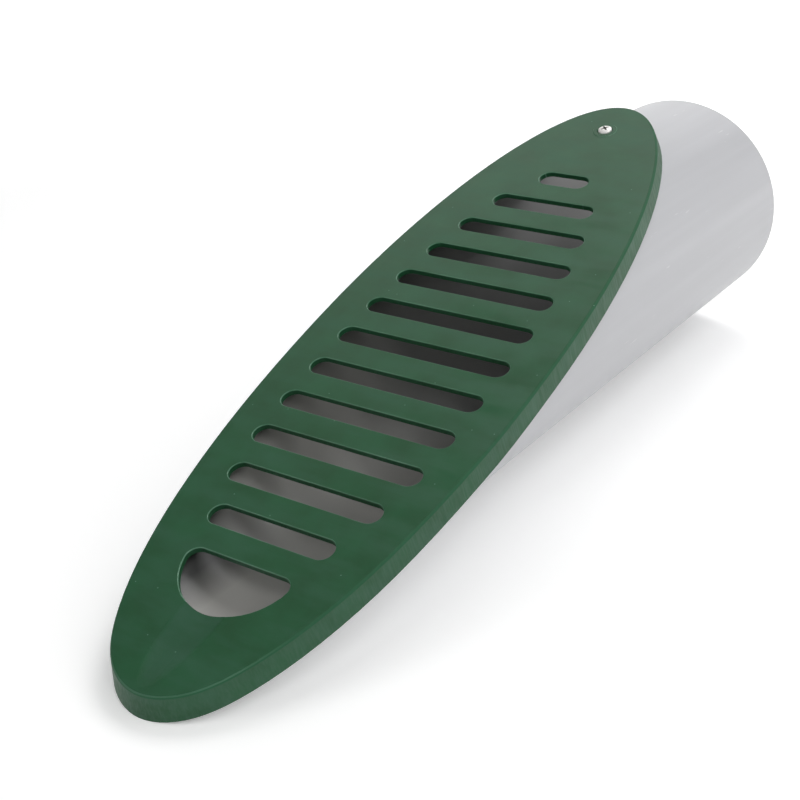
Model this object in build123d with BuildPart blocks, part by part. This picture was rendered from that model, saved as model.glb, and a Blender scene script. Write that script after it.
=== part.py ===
from build123d import *
import math
import os

# Yard drain emitter: a round pipe cut at a long mitre, with a slotted cover over the cut.
# The origin is the middle of the pipe's plain end, the pipe runs towards -X and +Z is up.

# Pipe
pipe_outer_radius = 57.15
pipe_wall = 6.0
stub_length = 101.6
mitre_ratio = 3.0  # length of the mitre for each unit of height

# Cover, fitted over the pipe's cut
side_gap = 0.75  # between the pipe's outside and the inside of the skirt
nose_gap = 0.58
high_end_overhang = 30.77  # from the cut's high end to the cover's, up the slope
nose_fullness = 2.16  # 2 is an ellipse, more is fuller
nose_spans = 12
cover_wall = 2.6
skirt_depth = 10.1
skirt_flare_length = 3.6
skirt_flare_width = 0.4
top_edge_radius = 1.2
rim_radius = 0.45

# Slots, from the high end down to the nose, with the outlet in the place of one more
slot_width = 10.4
first_slot_from_end = 68.35
outlet_from_nose = 58.85
slot_half_lengths = (13.0, 26.6, 33.0, 37.5, 40.5, 42.5, 43.6, 43.5, 43.3, 42.0, 37.8, 30.5)
outlet_radius = 25.6
outlet_corner_radius = 5.0

# Scoop that leads from the outlet to the nose
scoop_half_length = 36.0
scoop_half_width = 10.0
scoop_depth = 1.0

# Screw seat: a low pad with a pocket that the head sits in, and a boss underneath
screw_from_end = 22.4
pad_radius = 6.1
pad_height = 0.2
pocket_depth = 0.8
boss_radius = 6.5
boss_gap = 0.3

# Screw
screw_head_radius = 3.45
screw_head_height = 2.4
screw_head_side = 1.1
screw_shank_radius = 1.75
screw_length = 16.0
screw_point_length = 3.5
head_clearance = 0.5
hole_clearance = 0.3
pilot_clearance = 0.05
recess_span = 4.0
recess_width = 0.95
recess_depth = 1.5
recess_core_radius = 0.95

# Frames of the sloping cover
mitre_angle = math.atan(1 / mitre_ratio)
uphill = (math.cos(mitre_angle), 0, math.sin(mitre_angle))
outward = (-math.sin(mitre_angle), 0, math.cos(mitre_angle))
half_mitre = pipe_outer_radius * mitre_ratio
mitre_middle = stub_length + half_mitre
mitre_plane = Plane(origin=(-mitre_middle, 0, 0), x_dir=uphill, z_dir=outward)

# The cover's size and place, along and across its top face, from the pipe's cut
cut_half_length = pipe_outer_radius / math.sin(mitre_angle)
nose_overhang = nose_gap + cover_wall
cover_half_length = cut_half_length + (high_end_overhang + nose_overhang) / 2
cover_half_width = pipe_outer_radius + side_gap + cover_wall
cover_shift = (high_end_overhang - nose_overhang) / 2
cover_plane = Plane(mitre_plane.from_local_coords((cover_shift, 0, cover_wall)), x_dir=uphill, z_dir=outward)
off_the_cover = Axis(cover_plane.origin, outward)
first_slot_x = cover_half_length - first_slot_from_end
slot_pitch = (2 * cover_half_length - first_slot_from_end - outlet_from_nose) / len(slot_half_lengths)

os.makedirs("parts", exist_ok=True)


def nose_points(half_length, half_width):
    """points down the nose half of the outline, from one widest place to the other"""
    points = []
    for step in range(nose_spans + 1):
        turn = math.pi * step / nose_spans
        along = math.sin(turn) ** (2 / nose_fullness)
        across = math.copysign(abs(math.cos(turn)) ** (2 / nose_fullness), math.cos(turn))
        points.append((-half_length * along, half_width * across))
    return points


def cover_outline(plane, half_length, half_width):
    """the cover's outline on a plane: half an ellipse at the high end, a fuller nose"""
    with BuildSketch(plane) as outline:
        with BuildLine():
            Spline(*nose_points(half_length, half_width), tangents=((-1, 0), (1, 0)))
            EllipticalCenterArc((0, 0), half_length, half_width, start_angle=270, arc_size=180)
        make_face()
    return outline.sketch


# Pipe: a tube from the plain end to the point of the mitre, sliced along the mitre
pipe_length = mitre_middle + half_mitre
screw_x = cover_half_length - screw_from_end
seat_plane = Plane(cover_plane.from_local_coords((screw_x, 0, -pocket_depth)), x_dir=uphill, z_dir=outward)
with BuildPart() as drain_pipe:
    with BuildSketch(Plane.YZ):
        Circle(pipe_outer_radius)
        Circle(pipe_outer_radius - pipe_wall, mode=Mode.SUBTRACT)
    extrude(amount=-pipe_length - pipe_wall)
    split(bisect_by=mitre_plane, keep=Keep.BOTTOM)
    # The screw cuts its own hole through the wall
    with BuildSketch(seat_plane):
        Circle(screw_shank_radius + pilot_clearance)
    extrude(amount=-screw_length, mode=Mode.SUBTRACT)

# Boss that carries the screw's seat down to the outside of the pipe
with BuildPart() as seat_boss:
    with BuildSketch(seat_plane):
        Circle(boss_radius)
    extrude(amount=-(skirt_depth - pocket_depth))
    with BuildSketch(Plane.YZ):
        Circle(pipe_outer_radius + boss_gap)
    extrude(amount=-mitre_middle, mode=Mode.SUBTRACT)

# Scoop: a long arc turned about a line high above the cover
outlet_edge_x = first_slot_x - len(slot_half_lengths) * slot_pitch + slot_width / 2
outlet_foot_x = outlet_edge_x - outlet_radius
scoop_height = (scoop_half_width ** 2 - scoop_depth ** 2) / (2 * scoop_depth)
scoop_origin = cover_plane.from_local_coords((outlet_foot_x, 0, 0))
scoop_plane = Plane(scoop_origin, x_dir=uphill, z_dir=(0, -1, 0))
with BuildPart() as scoop:
    with BuildSketch(scoop_plane):
        with BuildLine():
            ThreePointArc((-scoop_half_length, 0), (0, -scoop_depth), (scoop_half_length, 0))
            Polyline((scoop_half_length, 0), (scoop_half_length, scoop_height),
                     (-scoop_half_length, scoop_height), (-scoop_half_length, 0))
        make_face()
        # It stops in the middle of the outlet
        with Locations((outlet_radius / 2, scoop_height / 2)):
            Rectangle(scoop_half_length, 2 * scoop_height, align=(Align.MIN, Align.CENTER), mode=Mode.SUBTRACT)
    revolve(axis=Axis(scoop_plane.from_local_coords((0, scoop_height, 0)), uphill))

# Cover: a flat top with a skirt round its edge, moulded in one
with BuildPart() as grate_cover:
    foot_plane = cover_plane.offset(-skirt_depth)
    foot_half_length = cover_half_length + skirt_flare_length
    foot_half_width = cover_half_width + skirt_flare_width
    loft([cover_outline(cover_plane, cover_half_length, cover_half_width),
          cover_outline(foot_plane, foot_half_length, foot_half_width)])
    fillet(grate_cover.faces().sort_by(off_the_cover)[-1].edges(), top_edge_radius)
    # Hollow underneath
    ceiling_plane = cover_plane.offset(-cover_wall)
    loft([cover_outline(ceiling_plane, cover_half_length - cover_wall, cover_half_width - cover_wall),
          cover_outline(foot_plane, foot_half_length - cover_wall, foot_half_width - cover_wall)],
         mode=Mode.SUBTRACT)
    # Slots
    with BuildSketch(cover_plane):
        for number, half_length in enumerate(slot_half_lengths):
            with Locations((first_slot_x - number * slot_pitch, 0)):
                SlotOverall(2 * half_length, slot_width, rotation=90)
    extrude(amount=-cover_wall, mode=Mode.SUBTRACT)
    # Half-moon outlet below the last slot
    with BuildSketch(cover_plane) as outlet:
        with Locations((outlet_edge_x, 0)):
            Circle(outlet_radius)
            Rectangle(outlet_radius, 2 * outlet_radius, align=(Align.MIN, Align.CENTER), mode=Mode.SUBTRACT)
        fillet(outlet.vertices(), outlet_corner_radius)
    extrude(amount=-cover_wall, mode=Mode.SUBTRACT)
    # Soft rims round the openings
    top_face = grate_cover.faces().sort_by(off_the_cover)[-1]
    rims = [edge for wire in top_face.inner_wires() for edge in wire.edges()]
    fillet(rims, rim_radius)
    add(scoop.part, mode=Mode.SUBTRACT)
    # Screw seat
    add(seat_boss.part)
    pad_plane = seat_plane.offset(pocket_depth + pad_height)
    with BuildSketch(pad_plane.offset(-pad_height)):
        Circle(pad_radius)
    with BuildSketch(pad_plane):
        Circle(pad_radius - pad_height)
    loft()
    with Locations(pad_plane):
        CounterBoreHole(screw_shank_radius + hole_clearance, screw_head_radius + head_clearance,
                        pocket_depth + pad_height, depth=2 * skirt_depth)

# Screw: domed head with a cross recess
profile_plane = Plane(seat_plane.origin, x_dir=uphill, z_dir=(0, -1, 0))
with BuildPart() as cover_screw:
    with BuildSketch(profile_plane):
        with BuildLine():
            dome = EllipticalCenterArc((0, screw_head_side), screw_head_radius, screw_head_height - screw_head_side,
                                       start_angle=0, arc_size=90)
            Polyline(dome @ 0, (screw_head_radius, 0), (screw_shank_radius, 0),
                     (screw_shank_radius, screw_point_length - screw_length), (0, -screw_length), dome @ 1)
        make_face()
    revolve(axis=Axis(seat_plane.origin, outward))
    with BuildSketch(seat_plane.offset(screw_head_height)):
        Circle(recess_core_radius)
        for turn in (45, 135):
            Rectangle(recess_span, recess_width, rotation=turn)
    extrude(amount=-recess_depth, mode=Mode.SUBTRACT)

pieces = {"drain_pipe": drain_pipe, "grate_cover": grate_cover, "cover_screw": cover_screw}
for name, piece in pieces.items():
    piece.part.label = name
    export_step(piece.part, f"parts/{name}.step")
    box = piece.part.bounding_box()
    print(name, "solids", len(piece.part.solids()), "volume", round(piece.part.volume), "mm3",
          "from", [round(value, 1) for value in box.min], "to", [round(value, 1) for value in box.max])
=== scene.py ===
import bpy
import math
from mathutils import Matrix, Vector


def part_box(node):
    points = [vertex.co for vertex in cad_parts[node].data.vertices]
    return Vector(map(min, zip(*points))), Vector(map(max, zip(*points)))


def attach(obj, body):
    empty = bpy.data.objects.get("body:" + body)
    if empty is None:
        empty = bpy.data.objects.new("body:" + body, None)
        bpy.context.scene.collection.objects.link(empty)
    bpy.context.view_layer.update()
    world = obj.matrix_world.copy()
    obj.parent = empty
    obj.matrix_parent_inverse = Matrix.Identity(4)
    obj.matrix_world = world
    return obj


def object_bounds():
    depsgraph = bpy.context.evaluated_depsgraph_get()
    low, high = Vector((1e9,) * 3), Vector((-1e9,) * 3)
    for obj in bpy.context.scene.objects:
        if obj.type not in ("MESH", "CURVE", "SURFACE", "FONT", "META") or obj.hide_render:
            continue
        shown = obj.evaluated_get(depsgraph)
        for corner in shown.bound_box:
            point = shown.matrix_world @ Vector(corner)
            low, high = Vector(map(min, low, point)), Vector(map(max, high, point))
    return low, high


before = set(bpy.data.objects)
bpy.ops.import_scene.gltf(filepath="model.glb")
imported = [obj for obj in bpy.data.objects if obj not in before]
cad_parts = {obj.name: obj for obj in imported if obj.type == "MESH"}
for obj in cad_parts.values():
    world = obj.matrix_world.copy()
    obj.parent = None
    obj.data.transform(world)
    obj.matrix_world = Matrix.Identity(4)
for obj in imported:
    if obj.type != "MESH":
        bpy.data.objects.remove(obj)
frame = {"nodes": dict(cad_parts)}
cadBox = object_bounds()
mm = 0.001
white = (1, 1, 1, 1)
print("frame loaded:", ", ".join(frame["nodes"]))


# Directions of the sloping cover
slopeRun = 3.0                       # along the pipe for each unit of height, as in the CAD
slopeAngle = math.atan(1 / slopeRun)
uphill = Vector((math.cos(slopeAngle), 0, math.sin(slopeAngle)))
outward = Vector((-math.sin(slopeAngle), 0, math.cos(slopeAngle)))

coverLow, coverHigh = (Vector(corner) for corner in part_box("grate_cover"))
pipeLow, pipeHigh = (Vector(corner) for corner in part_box("drain_pipe"))
screwLow, screwHigh = (Vector(corner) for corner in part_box("cover_screw"))
pipeRadius = (pipeHigh.y - pipeLow.y) / 2
coverSheet = 2.6 * mm                # the cover's wall, as in the CAD
# The cover's top face passes one sheet above the highest point of the pipe's cut
cutHighPoint = Vector((pipeLow.x + 2 * pipeRadius * slopeRun, 0, pipeRadius))
topFacePoint = cutHighPoint + outward * coverSheet
# The cover's two ends along the slope from that point, and so its middle
coverEnds = [(end - topFacePoint.x) / uphill.x for end in (coverLow.x, coverHigh.x)]
coverMiddle = sum(coverEnds) / 2
coverHalves = ((coverEnds[1] - coverEnds[0]) / 2, (coverHigh.y - coverLow.y) / 2)
screwTip = Vector((screwHigh.x, 0, screwLow.z))
screwAlong = (screwTip - topFacePoint).dot(uphill)


def newMaterial(name):
    material = bpy.data.materials.new(name)
    material.use_nodes = True
    tree = material.node_tree
    tree.nodes.clear()
    output = tree.nodes.new("ShaderNodeOutputMaterial")
    shader = tree.nodes.new("ShaderNodeBsdfPrincipled")
    tree.links.new(shader.outputs["BSDF"], output.inputs["Surface"])
    return material, tree, shader


def linked(tree, kind, inputs=None, **settings):
    # one node, with its settings and with values or links in its inputs
    node = tree.nodes.new(kind)
    for setting, value in settings.items():
        setattr(node, setting, value)
    for socket, value in (inputs or {}).items():
        if isinstance(value, bpy.types.NodeSocket):
            tree.links.new(value, node.inputs[socket])
        else:
            node.inputs[socket].default_value = value
    return node


def objectPlace(tree):
    return linked(tree, "ShaderNodeTexCoord").outputs["Object"]


def centred(tree, place, middle, turn=(0, 0, 0), size=(1, 1, 1)):
    # the same place as seen from a middle point, turned, and in shares of a size
    node = linked(tree, "ShaderNodeMapping",
                  {"Vector": place, "Location": middle, "Rotation": turn, "Scale": size},
                  vector_type="TEXTURE")
    return node.outputs["Vector"]


def coverPlace(tree):
    # x runs uphill from topFacePoint, and z out of the cover's face
    return centred(tree, objectPlace(tree), topFacePoint, (0, -slopeAngle, 0))


def stretched(tree, place, scale):
    return linked(tree, "ShaderNodeMapping", {"Vector": place, "Scale": scale}).outputs["Vector"]


def parted(tree, place):
    return linked(tree, "ShaderNodeSeparateXYZ", {"Vector": place}).outputs


def noise(tree, place, size, detail=3.0, roughness=0.55):
    node = linked(tree, "ShaderNodeTexNoise",
                  {"Vector": place, "Scale": 1 / size, "Detail": detail, "Roughness": roughness})
    return node.outputs["Fac"]


def ranged(tree, value, span, result=(0, 1)):
    # goes from one end of the result to the other over a span of the value, and stays there
    node = linked(tree, "ShaderNodeMapRange",
                  {"Value": value, "From Min": span[0], "From Max": span[1],
                   "To Min": result[0], "To Max": result[1]})
    return node.outputs["Result"]


def maths(tree, operation, first, second):
    node = linked(tree, "ShaderNodeMath", {0: first, 1: second}, operation=operation)
    return node.outputs["Value"]


def vectors(tree, operation, first, second=None, output="Value"):
    inputs = {0: first} if second is None else {0: first, 1: second}
    return linked(tree, "ShaderNodeVectorMath", inputs, operation=operation).outputs[output]


def ovalReach(tree, place, middle, halves):
    # on the cover's face: 0 at a point of its middle line, and 1 on the oval round it
    seen = centred(tree, place, (middle, 0, 0), size=(*halves, 1))
    return vectors(tree, "LENGTH", vectors(tree, "MULTIPLY", seen, (1, 1, 0), "Vector"))


def mixed(tree, share, first, second):
    # of two numbers
    node = linked(tree, "ShaderNodeMix", {"Factor": share, "A": first, "B": second})
    return node.outputs["Result"]


def blended(tree, share, first, second):
    # of two colours, whose sockets are the node's seventh and eighth
    node = linked(tree, "ShaderNodeMix", {0: share, 6: first, 7: second}, data_type="RGBA")
    return node.outputs[2]


def bumped(tree, shader, *layers):
    # each layer is a height pattern, its depth and its strength, and stands on the one before
    normal = None
    for height, depth, strength in layers:
        inputs = {"Height": height, "Distance": depth, "Strength": strength}
        if normal:
            inputs["Normal"] = normal
        normal = linked(tree, "ShaderNodeBump", inputs).outputs["Normal"]
    tree.links.new(normal, shader.inputs["Normal"])


# Cover: green moulded plastic. Places along the slope count from topFacePoint, depths from
# the top face, and slopes are the cosine of the tilt against it
coverLook = {
    "green": (0.0078, 0.089, 0.0300, 1),
    "darkGreen": (0.0050, 0.069, 0.020, 1),
    "paleGreen": (0.021, 0.101, 0.050, 1),
    "roughness": (0.31, 0.54),
    "cloudSize": 20 * mm,
    "cloudSpan": (0.36, 0.65),       # of the noise, from dark green to green
    "flowWidth": 9 * mm,
    "flowStretch": (1, 0.22, 1),     # the flow marks are longer across the cover
    "flowSpan": (0.44, 0.72),        # of the noise, from green to pale green
    "flowShare": 0.7,
    "flowMiddle": (0.3, 0.7),        # of the noise, where it changes the roughness and the scoop
    "flowBump": (0.03 * mm, 0.6),    # depth and strength
    "grainSize": 0.9 * mm,
    "grainBump": (0.004 * mm, 0.8),
    "skirtDepths": (-1.44 * mm, -0.96 * mm),     # skirt below the first, face above the second
    "skirtRoughness": (0.56, 0.38),  # between the streaks and on them
    "streakWidth": 0.9 * mm,         # drag marks on the skirt
    "streakStretch": (1, 1, 0.05),
    "streakSpan": (0.4, 0.75),
    "streakAndLightShare": 0.6,
    "streakBump": (0.015 * mm, 0.6),
    # painted highlight on the rims of the slots and on the cover's edge at the nose
    "rimHighlightGreen": (0.10, 0.25, 0.155, 1),
    "rimRoughness": 0.32,
    "rimSlope": (0.93, 0.97),        # painted with a highlight where it is steeper than this
    "rimDepths": (-0.48 * mm, -0.40 * mm),       # and no deeper than this
    "rimHighlightSpan": (0.3, 0.6),          # of the flow's noise, from a weak painted highlight to a strong one
    "rimHighlightShares": (0.35, 0.9),
    "noseHighlight": 0.35,                # on the cover's own edge at the nose, against 1 on the slots
    "noseSpan": (-320 * mm, -345 * mm),          # along the slope, where that painted highlight sets in
    "edgeBand": (0.88, 0.92),        # of the way from the cover's middle to its edge
    "edgeGreen": (0.0075, 0.098, 0.038, 1),
    "edgeTone": 0.7,
    "edgeRoughness": 0.70,
    "edgeSlope": (0.995, 0.9995),
    "edgeSteep": (0.80, 0.97),       # the green is full at the first and gone at the second
    "edgeDepths": (-1.2 * mm, -0.84 * mm),
    # painted light: the scoop is painted paler than the face
    "scoopGreen": (0.024, 0.094, 0.052, 1),
    "scoopShares": (0.36, 0.6),
    "scoopPlace": -326.2 * mm,
    "scoopHalves": (37 * mm, 11 * mm),
    "scoopRim": (0.97, 1.0),         # of the way from the scoop's middle to its edge
    "scoopDepths": (-0.25 * mm, -0.01 * mm),
    "speckGreen": (0.10, 0.22, 0.15, 1),
    "speckSpacing": 17 * mm,
    "speckRadii": (0.192 * mm, 0.32 * mm),
    "speckPick": (0.7, 0.72),        # cells with a random number above this have one
}


def mouldedGreen():
    material, tree, shader = newMaterial("mouldedGreen")
    look = coverLook
    place = coverPlace(tree)
    axes = parted(tree, place)
    along, depth = axes["X"], axes["Z"]
    facing = linked(tree, "ShaderNodeNewGeometry").outputs["True Normal"]
    slope = vectors(tree, "DOT_PRODUCT", facing, outward)
    clouds = noise(tree, place, look["cloudSize"], detail=4.0)
    flow = noise(tree, stretched(tree, place, look["flowStretch"]), look["flowWidth"],
                 detail=5.0, roughness=0.6)
    grain = noise(tree, place, look["grainSize"], detail=2.0)
    cloudy = ranged(tree, clouds, look["cloudSpan"])
    colour = blended(tree, cloudy, look["darkGreen"], look["green"])
    pale = ranged(tree, flow, look["flowSpan"], (0, look["flowShare"]))
    colour = blended(tree, pale, colour, look["paleGreen"])
    # Drag marks from the mould run across the height of the skirt, and their pale green also paints
    # the skirt paler than the face, as painted light
    onSkirt = ranged(tree, depth, look["skirtDepths"], (1, 0))
    streaks = noise(tree, stretched(tree, place, look["streakStretch"]), look["streakWidth"],
                    roughness=0.6)
    streaks = ranged(tree, streaks, look["streakSpan"])
    skirtRoughness = mixed(tree, streaks, *look["skirtRoughness"])
    streaks = maths(tree, "MULTIPLY", streaks, onSkirt)
    # pale drag marks, strong enough to be painted light on the skirt as well
    pale = maths(tree, "MULTIPLY", streaks, look["streakAndLightShare"])
    colour = blended(tree, pale, colour, look["paleGreen"])
    # The rims of the slots are painted paler, a painted highlight, and made smoother, and less so
    # the edge at the nose
    highlitRims = maths(tree, "MULTIPLY", ranged(tree, slope, look["rimSlope"], (1, 0)),
                   ranged(tree, depth, look["rimDepths"]))
    onEdge = ranged(tree, ovalReach(tree, place, coverMiddle, coverHalves), look["edgeBand"])
    atNose = ranged(tree, along, look["noseSpan"], (0, look["noseHighlight"]))
    highlitRims = maths(tree, "MULTIPLY", highlitRims, mixed(tree, onEdge, 1.0, atNose))
    # The rounding of the cover's own edge keeps a deeper, duller green
    rounding = maths(tree, "MULTIPLY", onEdge, ranged(tree, slope, look["edgeSlope"], (1, 0)))
    rounding = maths(tree, "MULTIPLY", rounding, ranged(tree, depth, look["edgeDepths"]))
    steep = ranged(tree, slope, look["edgeSteep"], (look["edgeTone"], 0))
    colour = blended(tree, maths(tree, "MULTIPLY", rounding, steep), colour, look["edgeGreen"])
    # The scoop is painted paler than the face round it, as painted light
    scoopReach = ovalReach(tree, place, look["scoopPlace"], look["scoopHalves"])
    scooped = maths(tree, "MULTIPLY", ranged(tree, scoopReach, look["scoopRim"], (1, 0)),
                    ranged(tree, depth, look["scoopDepths"], (1, 0)))
    scooped = maths(tree, "MULTIPLY", scooped,
                    ranged(tree, flow, look["flowMiddle"], look["scoopShares"]))
    colour = blended(tree, scooped, colour, look["scoopGreen"])
    # the painted highlight on the rims, stronger where the flow's noise is higher
    rimHighlightShare = maths(tree, "MULTIPLY", highlitRims, ranged(tree, flow, look["rimHighlightSpan"], look["rimHighlightShares"]))
    colour = blended(tree, rimHighlightShare, colour, look["rimHighlightGreen"])
    # Tiny pale specks, in a few of the cells of a coarse pattern
    cells = linked(tree, "ShaderNodeTexVoronoi",
                   {"Vector": place, "Scale": 1 / look["speckSpacing"]},
                   voronoi_dimensions="2D").outputs
    radii = [radius / look["speckSpacing"] for radius in look["speckRadii"]]
    cellNumber = linked(tree, "ShaderNodeSeparateColor", {"Color": cells["Color"]}).outputs["Red"]
    speck = maths(tree, "MULTIPLY", ranged(tree, cells["Distance"], radii, (1, 0)),
                  ranged(tree, cellNumber, look["speckPick"]))
    colour = blended(tree, speck, colour, look["speckGreen"])
    tree.links.new(colour, shader.inputs["Base Color"])
    roughness = ranged(tree, flow, look["flowMiddle"], look["roughness"])
    roughness = mixed(tree, onSkirt, roughness, skirtRoughness)
    roughness = mixed(tree, rounding, roughness, look["edgeRoughness"])
    roughness = mixed(tree, highlitRims, roughness, look["rimRoughness"])
    tree.links.new(roughness, shader.inputs["Roughness"])
    bumped(tree, shader, (flow, *look["flowBump"]), (streaks, *look["streakBump"]),
           (grain, *look["grainBump"]))
    return material


# Pipe: extruded grey plastic, with its bore painted darker as painted shade
pipeLook = {
    "grey": (0.570, 0.574, 0.596, 1),
    "darkGrey": (0.535, 0.539, 0.560, 1),
    "paleGrey": (0.605, 0.609, 0.632, 1),
    "roughness": (0.30, 0.40),
    "drawn": (0.02, 1, 1),           # bands and lines run the whole length
    "bandWidth": 9 * mm,
    "bandSpan": (0.35, 0.65),        # of the noise, from dark grey to pale grey
    "bandMiddle": (0.3, 0.7),        # of the noise, where it changes the roughness
    "bandBump": (0.03 * mm, 0.5),    # depth and strength
    "lineWidth": 0.9 * mm,
    "lineBump": (0.010 * mm, 0.5),
    "cloudSize": 45 * mm,
    "cloudSpan": (0.3, 0.7),
    "cloudShares": (0.25, 0.75),     # of the plain grey over the bands
    "scuffGrey": (0.72, 0.725, 0.74, 1),
    "scuffWidth": 1.6 * mm,
    "scuffStretch": (0.12, 1, 1),
    "scuffSpan": (0.70, 0.78),
    "scuffShare": 0.8,
    "patchSize": 18 * mm,            # scuffs lie in patches
    "patchSpan": (0.56, 0.62),
    "wall": 6 * mm,
    "boreRim": (0.2 * mm, 0.5 * mm),             # past the bore's radius, where its colour ends
    # painted shade: the bore is painted much darker than the pipe's outside
    "boreGrey": (0.136, 0.138, 0.133, 1),
    "boreRoughness": (0.34, 0.42),   # deep in the bore and at its mouth
    "mouthGrey": (0.345, 0.338, 0.322, 1),       # the bore under the lower slots, painted paler as painted light
    "mouthSpan": (-210 * mm, -295 * mm),
    "paintedShadowGrey": (0.080, 0.081, 0.080, 1),       # and the painted shadow on one side of it, behind the outlet
    "paintedShadowAlong": (-346 * mm, -380 * mm),
    "paintedShadowAcross": (9 * mm, 23 * mm),
}


def extrudedGrey():
    material, tree, shader = newMaterial("extrudedGrey")
    look = pipeLook
    place = objectPlace(tree)
    axes = parted(tree, place)
    drawn = stretched(tree, place, look["drawn"])
    bands = noise(tree, drawn, look["bandWidth"], detail=2.0, roughness=0.5)
    lines = noise(tree, drawn, look["lineWidth"], detail=2.0)
    clouds = noise(tree, place, look["cloudSize"])
    banded = ranged(tree, bands, look["bandSpan"])
    colour = blended(tree, banded, look["darkGrey"], look["paleGrey"])
    plain = ranged(tree, clouds, look["cloudSpan"], look["cloudShares"])
    colour = blended(tree, plain, colour, look["grey"])
    # A few short pale scuffs run lengthwise
    scuffs = noise(tree, stretched(tree, place, look["scuffStretch"]), look["scuffWidth"],
                   detail=1.0)
    scuffs = ranged(tree, scuffs, look["scuffSpan"], (0, look["scuffShare"]))
    patches = noise(tree, place, look["patchSize"], detail=1.0)
    scuffs = maths(tree, "MULTIPLY", scuffs, ranged(tree, patches, look["patchSpan"]))
    colour = blended(tree, scuffs, colour, look["scuffGrey"])
    # The bore's painted shade, from its dark depth to its paler mouth, with a painted shadow behind
    # the outlet
    radius = vectors(tree, "LENGTH", vectors(tree, "MULTIPLY", place, (0, 1, 1), "Vector"))
    boreRadius = pipeRadius - look["wall"]
    inside = ranged(tree, radius, [boreRadius + past for past in look["boreRim"]], (1, 0))
    mouth = ranged(tree, axes["X"], look["mouthSpan"])
    # painted shadow on the bore's side wall behind the outlet
    paintedShadow = maths(tree, "MULTIPLY", ranged(tree, axes["X"], look["paintedShadowAlong"]),
                  ranged(tree, axes["Y"], look["paintedShadowAcross"]))
    bore = blended(tree, mouth, look["boreGrey"], look["mouthGrey"])
    bore = blended(tree, paintedShadow, bore, look["paintedShadowGrey"])
    tree.links.new(blended(tree, inside, colour, bore), shader.inputs["Base Color"])
    outsideRoughness = ranged(tree, bands, look["bandMiddle"], look["roughness"])
    insideRoughness = mixed(tree, mouth, *look["boreRoughness"])
    roughness = mixed(tree, inside, outsideRoughness, insideRoughness)
    tree.links.new(roughness, shader.inputs["Roughness"])
    bumped(tree, shader, (bands, *look["bandBump"]), (lines, *look["lineBump"]))
    return material


# Screw: bright steel, turned. Heights count from the cover's top face
screwLook = {
    "steel": (0.98, 0.965, 0.94, 1),
    "shade": (0.88, 0.865, 0.84, 1),
    "metal": 0.5,
    "roughness": (0.48, 0.60),
    "markSize": 0.35 * mm,
    "markBump": (0.01 * mm, 0.5),    # depth and strength
    "smudgeSize": 2.5 * mm,
    "smudgeSpan": (0.4, 0.7),        # of the noise, from steel to shade
    "smudgeMiddle": (0.3, 0.7),      # of the noise, where it changes the roughness
    # painted shade in the cross recess
    "recessDark": (0.10, 0.10, 0.095, 1),
    "recessReach": (2.1 * mm, 2.142 * mm),       # from the screw's middle
    "recessHeights": (0.2 * mm, 1.3 * mm),       # the recess's floor and its mouth
    "recessShares": (1, 0.35),
    "recessRim": (1.3 * mm, 1.365 * mm),
    "shankRadius": 1.75 * mm,
    "length": 16 * mm,               # from the seat to the tip
    "threadStart": 2.2 * mm,         # below the seat
    "threadEnd": 12.6 * mm,
    "threadPitch": 1.25 * mm,
    "threadHeight": 0.28 * mm,
    "threadSteps": 28,               # in each turn
}


def turnedSteel():
    material, tree, shader = newMaterial("turnedSteel")
    look = screwLook
    place = coverPlace(tree)
    marks = noise(tree, place, look["markSize"])
    smudge = noise(tree, place, look["smudgeSize"])
    colour = blended(tree, ranged(tree, smudge, look["smudgeSpan"]), look["steel"], look["shade"])
    # The cross recess is painted dull and dark towards its floor, as painted shade
    height = parted(tree, place)["Z"]
    reach = ovalReach(tree, place, screwAlong, (1, 1))           # in metres
    recessShade = maths(tree, "MULTIPLY", ranged(tree, reach, look["recessReach"], (1, 0)),
                  ranged(tree, height, look["recessHeights"], look["recessShares"]))
    recessShade = maths(tree, "MULTIPLY", recessShade, ranged(tree, height, look["recessRim"], (1, 0)))
    colour = blended(tree, recessShade, colour, look["recessDark"])
    tree.links.new(colour, shader.inputs["Base Color"])
    roughness = ranged(tree, smudge, look["smudgeMiddle"], look["roughness"])
    tree.links.new(roughness, shader.inputs["Roughness"])
    bumped(tree, shader, (marks, *look["markBump"]))
    shader.inputs["Metallic"].default_value = look["metal"]
    return material


screwMaterial = turnedSteel()
finishes = {
    "drain_pipe": extrudedGrey(),
    "grate_cover": mouldedGreen(),
    "cover_screw": screwMaterial,
}
for node, material in finishes.items():
    for slot in bpy.data.objects[node].material_slots:
        slot.material = material
print("materials on the pipe, the cover and the screw")


# Screw thread, a ridge wound round the shank
def threadTree():
    tree = bpy.data.node_groups.new("screwThread", "GeometryNodeTree")
    tree.interface.new_socket("Geometry", in_out="OUTPUT", socket_type="NodeSocketGeometry")
    for name in ("Shank radius", "Thread height", "Pitch", "Length"):
        tree.interface.new_socket(name, in_out="INPUT", socket_type="NodeSocketFloat")
    given = tree.nodes.new("NodeGroupInput").outputs
    turns = maths(tree, "DIVIDE", given["Length"], given["Pitch"])
    coil = linked(tree, "GeometryNodeCurveSpiral",
                  {"Resolution": screwLook["threadSteps"], "Rotations": turns,
                   "Start Radius": given["Shank radius"], "End Radius": given["Shank radius"],
                   "Height": given["Length"]})
    # The ridge's section is a triangle, half sunk in the shank
    section = linked(tree, "GeometryNodeCurvePrimitiveCircle",
                     {"Resolution": 3, "Radius": given["Thread height"]})
    ridge = linked(tree, "GeometryNodeCurveToMesh",
                   {"Curve": coil.outputs["Curve"], "Profile Curve": section.outputs["Curve"],
                    "Fill Caps": True})
    coloured = linked(tree, "GeometryNodeSetMaterial",
                      {"Geometry": ridge.outputs["Mesh"], "Material": screwMaterial})
    real = linked(tree, "GeometryNodeRealizeInstances", {"Geometry": coloured.outputs["Geometry"]})
    output = tree.nodes.new("NodeGroupOutput")
    tree.links.new(real.outputs["Geometry"], output.inputs["Geometry"])
    return tree


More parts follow.
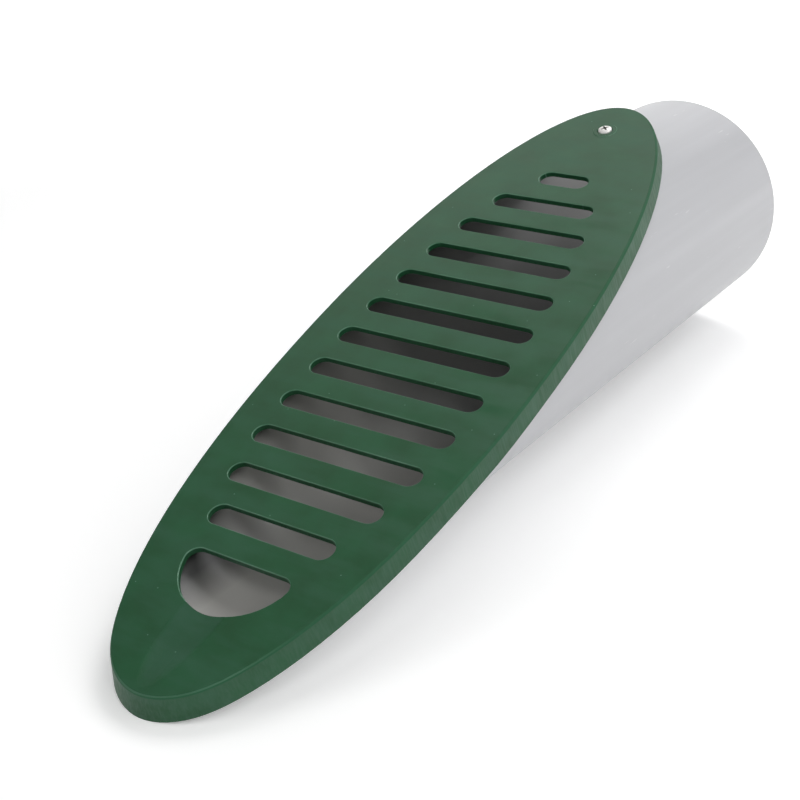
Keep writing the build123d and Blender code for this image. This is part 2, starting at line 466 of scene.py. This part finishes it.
def fromTree(name, tree, sizes, place):
    # the tree's result as a plain mesh, with its place in the mesh
    holder = bpy.data.objects.new(name + "Holder", bpy.data.meshes.new(name + "Holder"))
    bpy.context.collection.objects.link(holder)
    modifier = holder.modifiers.new(name, "NODES")
    modifier.node_group = tree
    sockets = {item.name: item.identifier for item in tree.interface.items_tree
               if item.in_out == "INPUT"}
    for socket, value in sizes.items():
        modifier[sockets[socket]] = value
    graph = bpy.context.evaluated_depsgraph_get()
    mesh = bpy.data.meshes.new_from_object(holder.evaluated_get(graph), depsgraph=graph)
    bpy.data.objects.remove(holder)
    mesh.transform(place)
    piece = bpy.data.objects.new(name, mesh)
    bpy.context.collection.objects.link(piece)
    return piece


def coverFrame(point):
    # turns x uphill and z out of the cover's face, at a point
    turn = Matrix((uphill, (0, 1, 0), outward)).transposed().to_4x4()
    return Matrix.Translation(point) @ turn


threadSizes = {
    "Shank radius": screwLook["shankRadius"],
    "Thread height": screwLook["threadHeight"],
    "Pitch": screwLook["threadPitch"],
    "Length": screwLook["threadEnd"] - screwLook["threadStart"],
}
threadFoot = screwTip + outward * (screwLook["length"] - screwLook["threadEnd"])
screwThread = fromTree("screw_thread", threadTree(), threadSizes, coverFrame(threadFoot))
for face in screwThread.data.polygons:
    face.use_smooth = False
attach(screwThread, "root")
print("screw thread", len(screwThread.data.polygons), "faces")


# Floor, backdrop and lamps
studio = {
    "floorColour": (0.90, 0.90, 0.90, 1),
    "floorRoughness": 0.9,
    "floorSize": 12.0,
    "floorGlow": (0.28, 1.0),        # only as seen and reflected: near the part and far from it
    "glowReach": (0.6, 1.4),
    "worldLight": 0.135,
    "backdrop": (0.30, 0.65),        # lit up to this height in reflections, and dim from the second
    "backdropLight": 0.20,
    "aim": (-0.24, 0.0, 0.0),
    # distance from the aim, turn from +X, height angle, size and power: metres, degrees and watts
    "lamps": {
        "back": (1.3, 0, 55, 0.6, 5.9),
        "lowBack": (2.0, 45, 32, 0.9, 4.0),
        "sheen": (2.0, 14, 9, 1.1, 3.6),
        "front": (2.0, 225, 45, 0.9, 7.0),
        "right": (2.0, 270, 46, 2.0, 15.0),
        "lowRight": (2.0, 315, 25, 1.8, 5.2),
        "left": (2.0, 84, 52, 0.9, 0.9),
        "rim": (2.0, 144, 31, 0.7, 5.0),
    },
}


def floorPlane():
    material, tree, shader = newMaterial("paleFloor")
    shader.inputs["Base Color"].default_value = studio["floorColour"]
    shader.inputs["Roughness"].default_value = studio["floorRoughness"]
    shader.inputs["Emission Color"].default_value = white
    rays = linked(tree, "ShaderNodeLightPath").outputs
    away = vectors(tree, "DISTANCE", objectPlace(tree), studio["aim"])
    glow = ranged(tree, away, studio["glowReach"], studio["floorGlow"])
    seen = maths(tree, "MAXIMUM", rays["Is Camera Ray"], rays["Is Glossy Ray"])
    tree.links.new(maths(tree, "MULTIPLY", glow, seen), shader.inputs["Emission Strength"])
    half = studio["floorSize"] / 2
    height = cadBox[0][2]
    corners = [(x * half, y * half, height) for x, y in ((-1, -1), (1, -1), (1, 1), (-1, 1))]
    mesh = bpy.data.meshes.new("floor")
    mesh.from_pydata(corners, [], [(0, 1, 2, 3)])
    mesh.materials.append(material)
    floor = bpy.data.objects.new("floor", mesh)
    bpy.context.collection.objects.link(floor)


def whiteWorld():
    world = bpy.data.worlds.new("studioWorld")
    bpy.context.scene.world = world
    world.use_nodes = True
    tree = world.node_tree
    tree.nodes.clear()
    rays = linked(tree, "ShaderNodeLightPath").outputs
    direction = linked(tree, "ShaderNodeTexCoord").outputs["Generated"]
    height = parted(tree, direction)["Z"]
    lights = (studio["backdropLight"], studio["worldLight"])
    reflected = ranged(tree, height, studio["backdrop"], lights)
    strength = mixed(tree, rays["Is Glossy Ray"], studio["worldLight"], reflected)
    strength = mixed(tree, rays["Is Camera Ray"], strength, 1.0)
    background = linked(tree, "ShaderNodeBackground", {"Color": white, "Strength": strength})
    linked(tree, "ShaderNodeOutputWorld", {"Surface": background.outputs["Background"]})


def softBox(name, distance, turn, height, size, power):
    data = bpy.data.lights.new(name, "AREA")
    data.shape = "SQUARE"
    data.size = size
    data.energy = power
    turn, height = math.radians(turn), math.radians(height)
    away = Vector((math.cos(height) * math.cos(turn), math.cos(height) * math.sin(turn),
                   math.sin(height)))
    lamp = bpy.data.objects.new(name, data)
    lamp.location = Vector(studio["aim"]) + distance * away
    lamp.rotation_euler = away.to_track_quat("Z", "Y").to_euler()
    bpy.context.collection.objects.link(lamp)


floorPlane()
whiteWorld()
for name, setup in studio["lamps"].items():
    softBox(name, *setup)
print("floor, world and", len(studio["lamps"]), "soft boxes")


# Camera, fitted to the photograph's outlines, which are measured in pixels of its frame
shot = {
    "place": (-0.71176, -0.30933, 0.24065),
    "right": (0.56834, -0.82185, -0.03937),
    "down": (-0.35243, -0.19992, -0.91423),
    "focalPixels": 1373.9,
    "centre": (400.5, 360.0),
    "frame": 800,
    "sensor": 36.0,                  # in millimetres
    "clipStart": 0.01,
}


def photoCamera():
    data = bpy.data.cameras.new("photoCamera")
    data.sensor_width = shot["sensor"]
    data.lens = shot["focalPixels"] * shot["sensor"] / shot["frame"]
    data.shift_x = (shot["frame"] / 2 - shot["centre"][0]) / shot["frame"]
    data.shift_y = (shot["centre"][1] - shot["frame"] / 2) / shot["frame"]
    data.clip_start = shot["clipStart"]
    camera = bpy.data.objects.new("photoCamera", data)
    right = Vector(shot["right"]).normalized()
    up = -Vector(shot["down"]).normalized()
    turn = Matrix((right, up, right.cross(up))).transposed().to_4x4()
    camera.matrix_world = Matrix.Translation(shot["place"]) @ turn
    bpy.context.collection.objects.link(camera)
    bpy.context.scene.camera = camera


photoCamera()
bpy.context.scene.view_settings.view_transform = "Standard"
print("camera at the photograph's angle")
